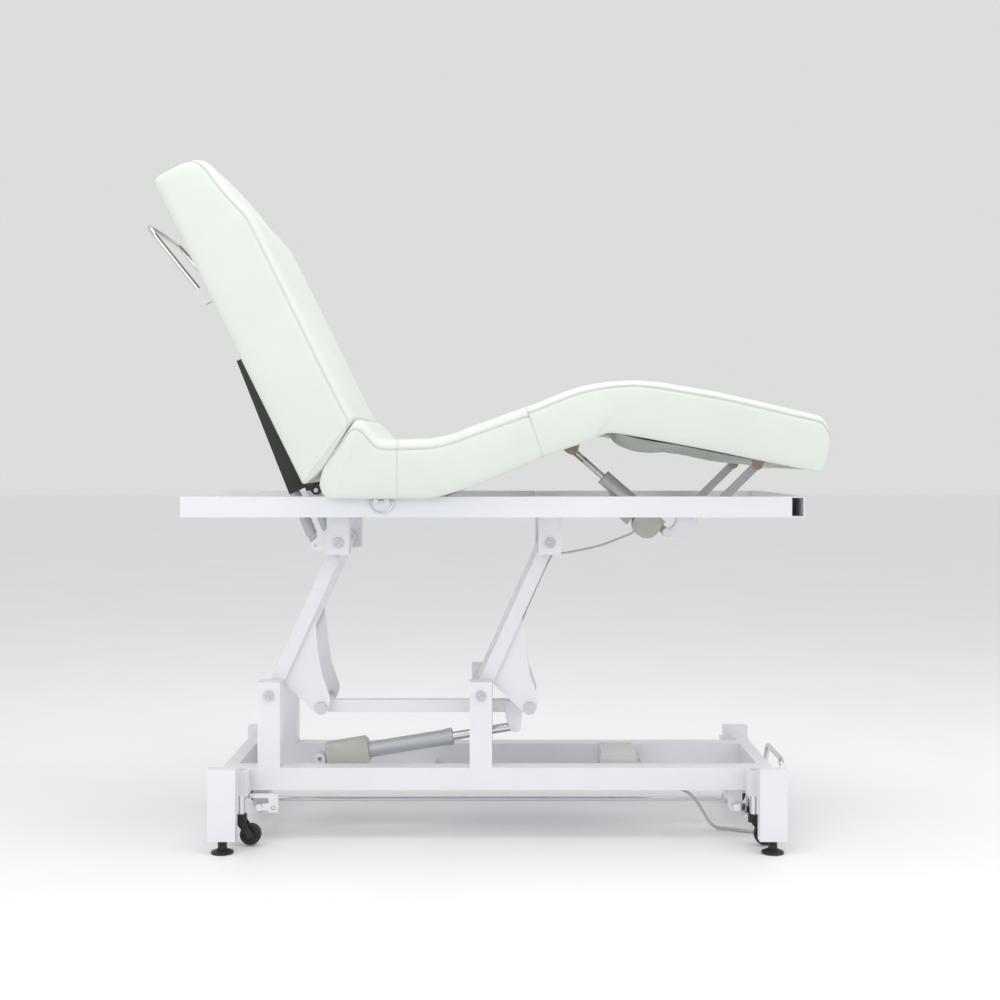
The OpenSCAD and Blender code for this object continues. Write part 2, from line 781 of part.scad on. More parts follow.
module leg_gearmotor() {
    eye = on_thigh(thigh_eye[0], thigh_eye[1]);
    color(motor_beige) placed() difference() {
        union() {
            slab(alongs(leg_eye, eye, [[18, -16], [78, -18], [78, 22], [26, 20]]), -26, 26);
            pin(along(leg_eye, eye, 48, 17), 64, -30, 30);
            slab(alongs(leg_eye, eye, [[0, -9], [22, -9], [22, 9], [0, 9]]), -9, 9);
            pin(leg_eye, 20, -9, 9);
            for (s = [26, 68], n = [-6, 34]) pin(along(leg_eye, eye, s, n), 7, -32, 32);
        }
        pin(leg_eye, 10 + 2 * fit, -20, 20);
        flat_rod(along(leg_eye, eye, 77.9, 0), along(leg_eye, eye, 100, 0), 0, 36);
        slab(alongs(leg_eye, eye, [[-13, -20], [13.6, -20], [13.6, 60], [-13, 60]]), -40, -9.2);
        slab(alongs(leg_eye, eye, [[-13, -20], [13.6, -20], [13.6, 60], [-13, 60]]), 9.2, 40);
    }
}

module leg_tube() {
    eye = on_thigh(thigh_eye[0], thigh_eye[1]);
    color(silver_c) placed() {
        difference() {
            flat_rod(along(leg_eye, eye, 78, 0), along(leg_eye, eye, 196, 0), 0, 36);
            flat_rod(along(leg_eye, eye, 70, 0), along(leg_eye, eye, 210, 0), 0, 30);
        }
        difference() {
            slab(alongs(leg_eye, eye, [[82, 21], [150, 21], [162, 27], [162, 44], [82, 48]]), -17, 17);
            flat_rod(along(leg_eye, eye, 40, 0), along(leg_eye, eye, 210, 0), 0, 36.4);
            pin(along(leg_eye, eye, 48, 17), 65, -31, 31);
        }
        difference() {
            slab(alongs(leg_eye, eye, [[84, 10], [160, 10], [160, 24], [84, 24]]), -8, 8);
            flat_rod(along(leg_eye, eye, 70, 0), along(leg_eye, eye, 210, 0), 0, 34);
            slab(alongs(leg_eye, eye, [[80, 21], [170, 21], [170, 40], [80, 40]]), -20, 20);
        }
    }
}

module leg_rod() {
    eye = on_thigh(thigh_eye[0], thigh_eye[1]);
    full = norm(eye - leg_eye);
    color(chrome_c) placed() difference() {
        union() {
            flat_rod(along(leg_eye, eye, full - 133, 0), along(leg_eye, eye, full - 7, 0), 0, 15);
            pin(eye, 20, -9, 9);
        }
        pin(eye, 10 + 2 * fit, -20, 20);
    }
}

// ---- retractable casters ----

module shaft_arms(s) {
    c = [s * shaft_x, shaft_z];
    pin(c, axle_d, -162, 162);
    for (y = [-11, 7]) plate_link(c, c - [0, 16], 7, y, y + 4);
    pin(c - [0, 16], 6, -11, 11);
    both() {
        plate_link(c, c + [33, 0], 8, 150, 155);
        pin(c + [33, 0], 6, 155, 164);
    }
}

module pedal_bar() {
    r = 26;
    low = [560, 50];
    mid = [632, 62];
    tip = [648, 169 - r];
    color(chrome_c) placed() {
        shaft_arms(1);
        both() {
            flat_rod([shaft_x, shaft_z], low, 100, 12);
            translate([low[0], 100, low[1]]) sphere(d = 13);
            flat_rod(low, mid, 100, 12);
            translate([mid[0], 100, mid[1]]) sphere(d = 13);
            flat_rod(mid, tip, 100, 12);
            translate([tip[0], 100 - r, tip[1]]) rotate([90, 0, 90]) rotate_extrude(angle = 90)
                translate([r, 0]) circle(d = 12);
            translate([tip[0], 100, tip[1]]) sphere(d = 13);
        }
        rod([648, r - 100, 169], [648, 100 - r, 169], 12);
    }
}

module head_shaft() {
    color(chrome_c) placed() shaft_arms(-1);
}

module sync_rod() {
    color(chrome_c) placed() difference() {
        union() {
            rod([-shaft_x + 6, 0, shaft_z - 16], [shaft_x - 6, 0, shaft_z - 16], 10);
            for (s = [-1, 1]) pin([s * shaft_x, shaft_z - 16], 14, -6, 6);
        }
        for (s = [-1, 1]) pin([s * shaft_x, shaft_z - 16], 9, -10, 10);
    }
}

module caster_carriage() {
    color(chrome_c) placed() {
        for (s = [-1, 1]) {
            both() {
                post(s * stem_x, stem_y, stem_d, 71, 158);
                post(s * stem_x, stem_y, 8, 56, 72);
            }
            difference() {
                box(s * stem_x - 6, s * stem_x + 6, -stem_y, stem_y, 96, 106);
                for (t = [-1, 1]) post(s * stem_x, t * stem_y, stem_d - 0.1, 90, 110);
            }
        }
        both() for (s = [-1, 1]) difference() {
            x = s * shaft_x + 33;
            union() {
                box(x - 11, x + 11, 158, 163, shaft_z - 11, 106);
                if (s < 0) box(-stem_x, x, 158, 163, 96, 106);
            }
            pin([x, shaft_z], 11, 150, 170);
        }
    }
}

module fork(x, y, turn) {
    color(black) placed() translate([x, y, 0]) rotate([0, 0, turn]) {
        difference() {
            union() {
                post(0, 0, 28, 53, 70.6);
                both() hull() {
                    pin([0, 58], 20, 11, 14);
                    pin([trail, axle_z], 15, 11, 14);
                }
            }
            post(0, 0, 8 + 2 * fit, 50, 80);
        }
        pin([trail, axle_z], 6, -14, 14);
    }
}

module wheel(x, y, turn) {
    color(black) placed() translate([x, y, 0]) rotate([0, 0, turn]) difference() {
        union() {
            pin([trail, axle_z], wheel_d, -8, 8);
            pin([trail, axle_z], 20, -10, 10);
        }
        pin([trail, axle_z], 6 + 2 * fit, -20, 20);
        both() difference() {
            pin([trail, axle_z], wheel_d - 14, 6, 12);
            pin([trail, axle_z], 20, 5, 13);
        }
    }
}

module fork_near_head() {
    fork(-stem_x, -stem_y, 0);
}

module fork_near_foot() {
    fork(stem_x, -stem_y, 0);
}

module fork_far_head() {
    fork(-stem_x, stem_y, 180);
}

module fork_far_foot() {
    fork(stem_x, stem_y, 0);
}

module wheel_near_head() {
    wheel(-stem_x, -stem_y, 0);
}

module wheel_near_foot() {
    wheel(stem_x, -stem_y, 0);
}

module wheel_far_head() {
    wheel(-stem_x, stem_y, 180);
}

module wheel_far_foot() {
    wheel(stem_x, stem_y, 0);
}

// ---- side ring ----

module strap_ring() {
    color(chrome_c) placed() translate([-251, -284, ring_z]) {
        rotate([-90, 0, 0]) rotate_extrude(angle = 180) translate([26, 0]) circle(d = 3);
        rod([-26, 0, 0], [26, 0, 0], 3);
    }
}

base_frame();
corner_legs();
tube_caps();
levelling_feet();
caster_sleeves();
lift_posts();
lower_axles();
cable_tray();
control_box();
base_brackets();
tray_cable();
mains_cord();
mains_hank();
mains_plug();
foot_lever();
foot_tie_pin();
lever_cable();
head_lever();
head_tie_pin();
tie_bar();
lift_gearbox();
lift_tube();
lift_rod();
frame_rails();
frame_crossbars();
top_brackets();
upper_axles();
leg_drive_bracket();
back_hinges();
seat_board();
seat_cushion();
motor_cable();
back_board();
back_cushion();
back_channels();
push_handle();
handle_brackets();
strut_tubes();
strut_rods();
thigh_board();
thigh_cushion();
calf_board();
calf_cushion();
calf_links();
leg_gearmotor();
leg_tube();
leg_rod();
pedal_bar();
head_shaft();
sync_rod();
caster_carriage();
fork_near_head();
fork_near_foot();
fork_far_head();
fork_far_foot();
wheel_near_head();
wheel_near_foot();
wheel_far_head();
wheel_far_foot();
strap_ring();
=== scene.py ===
"""Looks of the powered facial bed: leather cushions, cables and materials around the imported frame."""
import json
import math
import bmesh
import bpy
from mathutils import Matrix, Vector, noise


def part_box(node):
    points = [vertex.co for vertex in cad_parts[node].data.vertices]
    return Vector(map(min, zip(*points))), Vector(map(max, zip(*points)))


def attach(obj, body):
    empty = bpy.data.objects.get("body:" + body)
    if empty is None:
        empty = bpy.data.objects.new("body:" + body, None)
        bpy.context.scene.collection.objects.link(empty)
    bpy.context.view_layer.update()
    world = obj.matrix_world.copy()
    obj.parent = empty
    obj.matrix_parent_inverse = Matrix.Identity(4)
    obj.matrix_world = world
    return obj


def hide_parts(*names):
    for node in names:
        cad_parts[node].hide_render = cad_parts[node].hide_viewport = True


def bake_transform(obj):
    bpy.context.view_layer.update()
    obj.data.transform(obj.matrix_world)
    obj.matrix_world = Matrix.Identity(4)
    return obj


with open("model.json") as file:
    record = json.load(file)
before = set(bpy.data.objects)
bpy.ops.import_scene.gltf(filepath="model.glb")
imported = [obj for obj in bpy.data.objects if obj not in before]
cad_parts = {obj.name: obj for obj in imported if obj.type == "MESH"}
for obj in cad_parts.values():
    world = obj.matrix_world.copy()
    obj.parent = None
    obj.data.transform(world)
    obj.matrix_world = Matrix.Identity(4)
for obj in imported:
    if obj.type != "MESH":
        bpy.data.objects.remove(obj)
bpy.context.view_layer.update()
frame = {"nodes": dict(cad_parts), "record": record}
RECORD = frame["record"]
JOINT = {j["name"]: j for j in RECORD["behaviour"]["joints"]}
SHIFT = 36.0                                    # mm from the base's middle to the row frame's origin
HALF_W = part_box("back_cushion")[1][1]           # half the cushions' width, in metres
AXLE_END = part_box("lower_axles")[1][1] * 1000   # the lever axles' far end, in mm from the middle
BACK_ANGLE = math.radians(63.7)                 # how far the back rest is raised in the frame
CALF_ANGLE = math.radians(11.3)                 # how far the calf rest falls towards the foot end
CAMERA_AT = (0.0414, -3.615, 0.864)             # metres, square to the bed's near side
LENS, SENSOR = 55.5, 36                         # mm
WELD = 0.00002                                  # metres, below which two points are one


def pivot(joint):
    """A joint's place in mm from the base's middle."""
    pos = JOINT[joint]["pos_m"]
    return pos[0] * 1000 - SHIFT, pos[2] * 1000


# ---------------------------------------------------------------- camera and light

def make_camera():
    """A level camera that faces the near side."""
    cam = bpy.data.objects.new("camera", bpy.data.cameras.new("camera"))
    bpy.context.scene.collection.objects.link(cam)
    cam.location = CAMERA_AT
    cam.rotation_euler = (math.radians(90), 0, 0)
    cam.data.lens = LENS
    cam.data.sensor_width = SENSOR
    cam.data.shift_y = -0.045
    bpy.context.scene.camera = cam


def area_light(name, place_m, aim_m, size, power):
    """A rectangular lamp at place_m that points at aim_m."""
    lamp = bpy.data.objects.new(name, bpy.data.lights.new(name, "AREA"))
    lamp.data.shape = "RECTANGLE"
    lamp.data.size, lamp.data.size_y = size
    lamp.data.energy = power
    lamp.location = place_m
    turn = Vector(aim_m) - Vector(place_m)
    lamp.rotation_euler = turn.to_track_quat("-Z", "Y").to_euler()
    bpy.context.scene.collection.objects.link(lamp)


def make_light():
    """An even white world with three soft lamps."""
    world = bpy.data.worlds.new("studio")
    bpy.context.scene.world = world
    world.use_nodes = True
    world.node_tree.nodes["Background"].inputs["Color"].default_value = (1, 1, 1, 1)
    world.node_tree.nodes["Background"].inputs["Strength"].default_value = 0.72
    area_light("top", (0.0, -0.6, 3.4), (0, 0, 0.6), (3.2, 2.4), 46)
    area_light("front", (-1.8, -3.4, 1.9), (0, 0, 0.7), (2.2, 2.2), 26)
    area_light("foot_end", (3.2, -1.2, 1.6), (0, 0, 0.7), (1.6, 2.2), 16)
    bpy.context.scene.view_settings.view_transform = "Standard"


# ---------------------------------------------------------------- materials

def new_material(name):
    """A material, with its nodes, links and shader."""
    mat = bpy.data.materials.new(name)
    mat.use_nodes = True
    return mat, mat.node_tree.nodes, mat.node_tree.links, mat.node_tree.nodes["Principled BSDF"]


def add(nodes, kind, **values):
    """A shader node whose inputs or settings take the values given by name."""
    node = nodes.new(kind)
    for key, value in values.items():
        if key in node.inputs:
            node.inputs[key].default_value = value
        else:
            setattr(node, key, value)
    return node


def noise_at(nodes, links, coord, scale, detail=3.0, rough=0.5, stretch=None):
    """A noise texture that reads coord, drawn out along its axes by stretch."""
    tex = add(nodes, "ShaderNodeTexNoise", Scale=scale, Detail=detail, Roughness=rough)
    if stretch:
        mapping = add(nodes, "ShaderNodeMapping")
        mapping.inputs["Scale"].default_value = stretch
        links.new(coord, mapping.inputs["Vector"])
        coord = mapping.outputs["Vector"]
    links.new(coord, tex.inputs["Vector"])
    return tex


def two_tone(nodes, links, factor, low, high):
    """A colour that runs from low to high over the middle of factor's range."""
    ramp = add(nodes, "ShaderNodeValToRGB")
    ramp.color_ramp.elements[0].position = 0.35
    ramp.color_ramp.elements[1].position = 0.65
    ramp.color_ramp.elements[0].color = (*low, 1)
    ramp.color_ramp.elements[1].color = (*high, 1)
    links.new(factor, ramp.inputs["Fac"])
    return ramp.outputs["Color"]


def tone(color, share):
    """The colour made darker or lighter by a share."""
    return tuple(min(1.0, c * share) for c in color)


def finish_material(name, color, rough, metal=0.0, grain=900.0, bump=0.04, mottle=0.03, patch=9.0,
                    rough_spread=0.08, coat=0.0, stretch=None):
    """A painted, moulded or metal finish: mottled colour, uneven gloss and a fine grain."""
    mat, nodes, links, shader = new_material(name)
    coord = add(nodes, "ShaderNodeTexCoord").outputs["Object"]
    broad = noise_at(nodes, links, coord, patch, 4.0, 0.55)
    links.new(two_tone(nodes, links, broad.outputs["Fac"], tone(color, 1 - mottle), tone(color, 1 + mottle)),
              shader.inputs["Base Color"])
    fine = noise_at(nodes, links, coord, grain, 2.0, 0.5, stretch)
    spread = add(nodes, "ShaderNodeMapRange")
    spread.inputs["To Min"].default_value = rough - rough_spread
    spread.inputs["To Max"].default_value = rough + rough_spread
    links.new(broad.outputs["Fac"], spread.inputs["Value"])
    links.new(spread.outputs["Result"], shader.inputs["Roughness"])
    bumper = add(nodes, "ShaderNodeBump", Strength=bump, Distance=0.0004)
    links.new(fine.outputs["Fac"], bumper.inputs["Height"])
    links.new(bumper.outputs["Normal"], shader.inputs["Normal"])
    shader.inputs["Metallic"].default_value = metal
    shader.inputs["Coat Weight"].default_value = coat
    shader.inputs["Coat Roughness"].default_value = 0.15
    return mat


def leather_material(name, color):
    """Smooth synthetic leather: pebbled grain from cells, soft creases and a slight change of tone."""
    mat, nodes, links, shader = new_material(name)
    coord = add(nodes, "ShaderNodeTexCoord").outputs["Object"]
    broad = noise_at(nodes, links, coord, 5.0, 5.0, 0.55)
    links.new(two_tone(nodes, links, broad.outputs["Fac"], tone(color, 0.972), tone(color, 1.012)),
              shader.inputs["Base Color"])
    cells = add(nodes, "ShaderNodeTexVoronoi", Scale=620.0, feature="DISTANCE_TO_EDGE")
    links.new(coord, cells.inputs["Vector"])
    crease = noise_at(nodes, links, coord, 60.0, 5.0, 0.6)
    first = add(nodes, "ShaderNodeBump", Strength=0.22, Distance=0.0012)
    links.new(crease.outputs["Fac"], first.inputs["Height"])
    second = add(nodes, "ShaderNodeBump", Strength=0.3, Distance=0.0005)
    links.new(cells.outputs["Distance"], second.inputs["Height"])
    links.new(first.outputs["Normal"], second.inputs["Normal"])
    links.new(second.outputs["Normal"], shader.inputs["Normal"])
    spread = add(nodes, "ShaderNodeMapRange")
    spread.inputs["To Min"].default_value = 0.40
    spread.inputs["To Max"].default_value = 0.54
    links.new(crease.outputs["Fac"], spread.inputs["Value"])
    links.new(spread.outputs["Result"], shader.inputs["Roughness"])
    shader.inputs["Sheen Weight"].default_value = 0.12
    shader.inputs["Sheen Roughness"].default_value = 0.4
    return mat


def cloth_material(name, color):
    """Woven cloth, here for the dark sheet that paints shade under the calf rest: two crossed wave sets give
    the weave.
    """
    mat, nodes, links, shader = new_material(name)
    coord = add(nodes, "ShaderNodeTexCoord").outputs["Object"]
    broad = noise_at(nodes, links, coord, 14.0, 4.0)
    links.new(two_tone(nodes, links, broad.outputs["Fac"], tone(color, 0.93), tone(color, 1.05)),
              shader.inputs["Base Color"])
    warp = add(nodes, "ShaderNodeTexWave", Scale=420.0, bands_direction="X")
    weft = add(nodes, "ShaderNodeTexWave", Scale=420.0, bands_direction="Y")
    both = add(nodes, "ShaderNodeMath", operation="MULTIPLY")
    for slot_no, tex in enumerate((warp, weft)):
        links.new(coord, tex.inputs["Vector"])
        links.new(tex.outputs["Fac"], both.inputs[slot_no])
    bumper = add(nodes, "ShaderNodeBump", Strength=0.4, Distance=0.0005)
    links.new(both.outputs["Value"], bumper.inputs["Height"])
    links.new(bumper.outputs["Normal"], shader.inputs["Normal"])
    shader.inputs["Roughness"].default_value = 0.8
    return mat


def make_materials():
    """One material for each of the record's slots, by name."""
    made = {
        "white_steel": finish_material("white_steel", (0.80, 0.815, 0.85), 0.34, grain=700, bump=0.10,
                                       mottle=0.015, coat=0.1),
        "white_plastic": finish_material("white_plastic", (0.80, 0.81, 0.83), 0.42, grain=1500, bump=0.08),
        "box_grey": finish_material("box_grey", (0.66, 0.67, 0.66), 0.5, grain=1600, bump=0.2),
        "zinc_pin": finish_material("zinc_pin", (0.62, 0.63, 0.65), 0.34, metal=0.9, grain=800, bump=0.05),
        "grey_tube": finish_material("grey_tube", (0.47, 0.49, 0.51), 0.38, metal=0.35, grain=900,
                                     bump=0.08),
        "black_plastic": finish_material("black_plastic", (0.012, 0.012, 0.013), 0.42, grain=1300,
                                         bump=0.15),
        "wheel_rubber": finish_material("wheel_rubber", (0.014, 0.014, 0.014), 0.55, grain=1500, bump=0.2),
        "black_steel": finish_material("black_steel", (0.012, 0.012, 0.013), 0.4, grain=700, bump=0.12),
        "motor_beige": finish_material("motor_beige", (0.50, 0.51, 0.46), 0.5, grain=1200, bump=0.25,
                                       mottle=0.05),
        "chrome_rod": finish_material("chrome_rod", (0.72, 0.73, 0.75), 0.14, metal=1.0, grain=300,
                                      bump=0.02, rough_spread=0.05, mottle=0.02),
        "cable_grey": finish_material("cable_grey", (0.50, 0.51, 0.50), 0.5, grain=1500, bump=0.1),
        "board": finish_material("board", (0.42, 0.36, 0.27), 0.6, grain=120, bump=0.25, mottle=0.16,
                                 patch=30, stretch=(0.2, 1, 1)),
    }
    made["sage_leather"] = leather_material("sage_leather", (0.735, 0.785, 0.725))
    # A shaded copy of the leather's colour: painted shade for the underside of the calf rest.
    made["painted_shade_cloth"] = cloth_material("painted_shade_cloth", (0.52, 0.56, 0.52))
    return made


# How far each node's edges are softened, in mm.
BEVELLED = {"base_frame": 1.6, "corner_legs": 1.5, "tube_caps": 0.9, "lift_posts": 1.6, "control_box": 2.5,
            "caster_sleeves": 1.5, "foot_lever": 1.2, "head_lever": 1.2, "tie_bar": 1.2, "frame_rails": 1.8,
            "frame_crossbars": 1.2, "top_brackets": 1.2, "lift_gearbox": 3.0, "leg_gearmotor": 2.5,
            "leg_drive_bracket": 0.8, "back_channels": 0.8, "handle_brackets": 2.5, "base_brackets": 0.8,
            "leg_tube": 1.0, "calf_links": 1.2, "back_board": 1.5, "cable_tray": 0.5, "mains_plug": 2.0,
            "strut_tubes": 0.8, "back_hinges": 0.8, "levelling_feet": 0.8}


def dress_nodes(mats):
    """Every CAD node gets its slot's material, and the pressed and moulded ones a softened edge."""
    for part in RECORD["subparts"]:
        node = frame["nodes"][part["node"]]
        node.data.materials.clear()
        node.data.materials.append(mats[part["material_slot"]])
        width = BEVELLED.get(part["node"])
        if width:
            edge = node.modifiers.new("edge", "BEVEL")
            edge.width = width / 1000
            edge.segments = 2
            edge.limit_method = "ANGLE"
            edge.angle_limit = math.radians(40)
            edge.harden_normals = False


# ---------------------------------------------------------------- mesh helpers

def link_mesh(name, verts, faces, mat):
    """A smooth-shaded mesh object in the scene, from points in metres."""
    mesh = bpy.data.meshes.new(name)
    mesh.from_pydata([tuple(v) for v in verts], [], faces)
    mesh.validate()
    mesh.polygons.foreach_set("use_smooth", [True] * len(mesh.polygons))
    mesh.materials.append(mat)
    obj = bpy.data.objects.new(name, mesh)
    bpy.context.scene.collection.objects.link(obj)
    return obj


def link_tube(name, points, radius, mat):
    """A round cable: a curve of one open spline through the points, in metres."""
    data = bpy.data.curves.new(name, "CURVE")
    data.dimensions = "3D"
    data.bevel_depth = radius
    data.bevel_resolution = 3
    data.use_fill_caps = True
    spline = data.splines.new("POLY")
    spline.points.add(len(points) - 1)
    for point, co in zip(spline.points, points):
        point.co = (*co, 1)
    spline.use_smooth = True
    data.materials.append(mat)
    obj = bpy.data.objects.new(name, data)
    bpy.context.scene.collection.objects.link(obj)
    return obj


def band_faces(rings, size):
    """Four-sided faces from each ring of points to the next, with size points in a ring."""
    faces = []
    for i in range(rings - 1):
        for k in range(size):
            a, b = i * size + k, i * size + (k + 1) % size
            faces.append((a, b, b + size, a + size))
    return faces


def tube_mesh(name, points, radius, mat, sides=12):
    """A round cable as a closed mesh."""
    pts = [Vector(p) for p in points]
    side = Vector((0.3, 0.5, 1.0))
    verts = []
    for i, p in enumerate(pts):
        way = (pts[min(i + 1, len(pts) - 1)] - pts[max(i - 1, 0)]).normalized()
        side = (side - way * side.dot(way)).normalized()
        other = way.cross(side)
        for k in range(sides):
            a = 2 * math.pi * k / sides
            verts.append(p + (side * math.cos(a) + other * math.sin(a)) * radius)
    faces = band_faces(len(pts), sides)
    faces.append(tuple(reversed(range(sides))))
    faces.append(tuple((len(pts) - 1) * sides + k for k in range(sides)))
    obj = link_mesh(name, verts, faces, mat)
    tidy_normals(obj)
    return obj


def smooth_line(points, steps):
    """A Catmull-Rom line through the points, any number of values each."""
    pts = [tuple(p) for p in points]
    first = tuple(2 * a - b for a, b in zip(pts[0], pts[1]))
    last = tuple(2 * a - b for a, b in zip(pts[-1], pts[-2]))
    pts = [first] + pts + [last]
    out = []
    for i in range(1, len(pts) - 2):
        for k in range(steps):
            t = k / steps
            out.append(tuple(0.5 * (2 * b + (c - a) * t + (2 * a - 5 * b + 4 * c - d) * t * t
                                    + (3 * b - a - 3 * c + d) * t ** 3)
                             for a, b, c, d in zip(*pts[i - 1:i + 3])))
    out.append(pts[-2])
    return out


def in_row(points):
    """Base points in mm as row points in metres."""
    return [((x + SHIFT) / 1000, y / 1000, z / 1000) for x, y, z in points]


# ---------------------------------------------------------------- cushions

TOP_ROWS, SIDE_ROWS = 16, 28        # the last row of the top, and of the side, in ring_table
RECESS_EDGE, RECESS = -1, -2        # in its last column, the rim and the floor of the board's recess


def ring_table(half_w, skirt, seam):
    """Half a cross-section, from the top's middle round to the underside's middle.

    Each row is (y, mm below the top or None, mm above the bottom or None), where RECESS_EDGE or RECESS
    may stand in the last column.
    """
    rows = [(half_w * k / 12, 3.2 * (k / 12) ** 2, None) for k in range(11)]
    rows += [(half_w - 34, 3.0, None), (half_w - 25, 3.6, None), (half_w - 16, 5.2, None),
             (half_w - 9, 8.0, None), (half_w - 4.5, 11.5, None), (half_w - 2.2, seam - 6, None),
             (half_w - 1.6, seam - 2.6, None), (half_w - 4.4, seam, None), (half_w - 1.4, seam + 2.6, None),
             (half_w - 0.6, seam + 7, None), (half_w + 0.6, seam + 16, None)]
    rows += [(half_w + 1.6, None, 62), (half_w + 1.4, None, 44), (half_w + 0.6, None, 28),
             (half_w - 0.6, None, 15), (half_w - 2.5, None, 7), (half_w - 6, None, 2),
             (half_w - 11, None, 0),
             (half_w - skirt + 4, None, 0.5), (half_w - skirt, None, RECESS_EDGE),
             (half_w - skirt - 0.6, None, RECESS), (half_w * 0.5, None, RECESS), (0.0, None, RECESS)]
    return rows


def ring_points(top, bottom, inset, recess, rows):
    """Half a cross-section as (x, y, z) in mm, from the middle of the top to the middle underneath."""
    high = math.dist(top, bottom)
    share = min(1.0, high / 110.0)
    narrow = 1 - inset / (HALF_W * 1000)
    out = []
    for y, below, above in rows:
        if below is not None:
            f = 1 - below * share / high
        elif above < 0:
            f = (recess * (0.6 if above == RECESS_EDGE else 1.0)) / high
        else:
            f = above * share / high
        f = min(1.0, max(0.0, f))
        out.append((bottom[0] + (top[0] - bottom[0]) * f, y * narrow, bottom[1] + (top[1] - bottom[1]) * f))
    return out


def crease_depth(x, z, creases):
    """How far a side is drawn in at a point of the side view by the creases near it, in mm."""
    total = 0.0
    for (ax, az), (bx, bz), depth, width in creases:
        dx, dz = bx - ax, bz - az
        length = dx * dx + dz * dz
        t = max(0.0, min(1.0, ((x - ax) * dx + (z - az) * dz) / length))
        gap = math.hypot(x - ax - dx * t, z - az - dz * t)
        fade = math.sin(math.pi * (0.12 + 0.76 * t))
        total += depth * fade * math.exp(-(gap / width) ** 2)
        total -= 0.45 * depth * fade * math.exp(-((gap - 1.9 * width) / width) ** 2)
    return total


def ripple(point, down, on_side, creases, folds):
    """Moves one skin point inwards: broad puckers everywhere, folds across the width near the joints."""
    x, y, z = point
    broad = noise.noise(Vector((x / 95, y / 120, z / 95))) * 1.3
    fine = noise.noise(Vector((x / 31, y / 55, z / 31))) * 0.5
    drawn = 0.0
    for cx, cz, reach, deep, pitch in folds:
        near = math.exp(-((x - cx) ** 2 + (z - cz) ** 2) / reach ** 2)
        drawn += near * deep * noise.noise(Vector((x / pitch, y / 160, z / pitch)) + Vector((cx, 0, 0)))
    if on_side:
        inward = crease_depth(x, z, creases) + 0.5 * drawn - broad * 0.6
        return x, y - math.copysign(inward, y), z
    sunk = abs(broad) * 0.6 + abs(fine) * 0.6 + max(0.0, drawn)
    return x + down[0] * sunk, y, z + down[1] * sunk


def ring_skin(half, down, creases, folds):
    """A whole cross-section from its half, rippled on the top and sides and plain underneath."""
    whole = half + [(x, -y, z) for x, y, z in reversed(half[1:-1])]
    skin = []
    for i, point in enumerate(whole):
        row = i if i < len(half) else 2 * (len(half) - 1) - i
        if row <= SIDE_ROWS:
            point = ripple(point, down, row > TOP_ROWS, creases, folds)
        skin.append(point)
    return skin


def end_faces(base, size, flip):
    """Closes the ring that starts at point number base, with faces from one side to the other."""
    faces = []
    for k in range(size // 2):
        quad = [base + k, base + k + 1, base + (size - k - 1) % size, base + (size - k) % size]
        quad = list(dict.fromkeys(quad))
        if len(quad) > 2:
            faces.append(tuple(quad if flip else reversed(quad)))
    return faces


def cushion(name, keys, steps, mat, skirt, seam, creases, folds):
    """A boxed cushion lofted through cross-sections, closed at both ends.

    keys holds (top x, top z, bottom x, bottom z, side inset, recess) in mm from the base's middle.
    """
    rows = ring_table(HALF_W * 1000, skirt, seam)
    stations = smooth_line(keys, steps)
    verts = []
    for tx, tz, bx, bz, inset, recess in stations:
        half = ring_points((tx, tz), (bx, bz), max(0, inset), max(0, recess), rows)
        high = math.dist((tx, tz), (bx, bz))
        down = ((bx - tx) / high, (bz - tz) / high)
        verts += in_row(ring_skin(half, down, creases, folds))
    size = len(verts) // len(stations)
    faces = band_faces(len(stations), size)
    faces += end_faces(0, size, False)
    faces += end_faces((len(stations) - 1) * size, size, True)
    obj = link_mesh(name, verts, faces, mat)
    tidy_normals(obj)
    return obj


def tidy_normals(obj):
    """Joins points that coincide and turns every face outwards."""
    shape = bmesh.new()
    shape.from_mesh(obj.data)
    bmesh.ops.remove_doubles(shape, verts=shape.verts, dist=WELD)
    bmesh.ops.recalc_face_normals(shape, faces=shape.faces)
    shape.to_mesh(obj.data)
    shape.free()
    obj.data.polygons.foreach_set("use_smooth", [True] * len(obj.data.polygons))


def back_keys():
    """The back pad's cross-sections, set out along the raised back rest from its hinge."""
    hx, hz = pivot("back_recline")
    cos, sin = math.cos(BACK_ANGLE), math.sin(BACK_ANGLE)

    def at(u, v):
        return hx - u * cos + v * sin, hz + u * sin + v * cos

    table = [((40, 52), (34, 45), 14, 0), ((60, 88), (26, 20), 8, 0), ((88, 134), (21, -6), 4, 0),
             ((101, 149), (26, -11.5), 1, 2), ((116, 153), (40, -12), 0, 12),
             ((200, 153), (200, -12), 0, 12.3),
             ((300, 153.5), (300, -12), 0, 12.3), ((430, 153.5), (430, -12), 0, 12.3),
             ((560, 153), (560, -12), 0, 12.3), ((590, 151), (588, -12), 0, 12.3),
             ((620, 142), (618, -12), 0, 12.3), ((654, 132), (654, -12), 0, 12.3),
             ((700, 122.5), (698, -12), 0, 12.3), ((728, 115.5), (728, -12), 0, 12),
             ((742, 106), (743, -11.5), 2, 2), ((750, 90), (750.5, -3), 6, 0),
             ((752.5, 62), (752.5, 28), 11, 0),
             ((753, 50), (753, 43), 14, 0)]
    return [(*at(*top), *at(*low), inset, recess) for top, low, inset, recess in table]


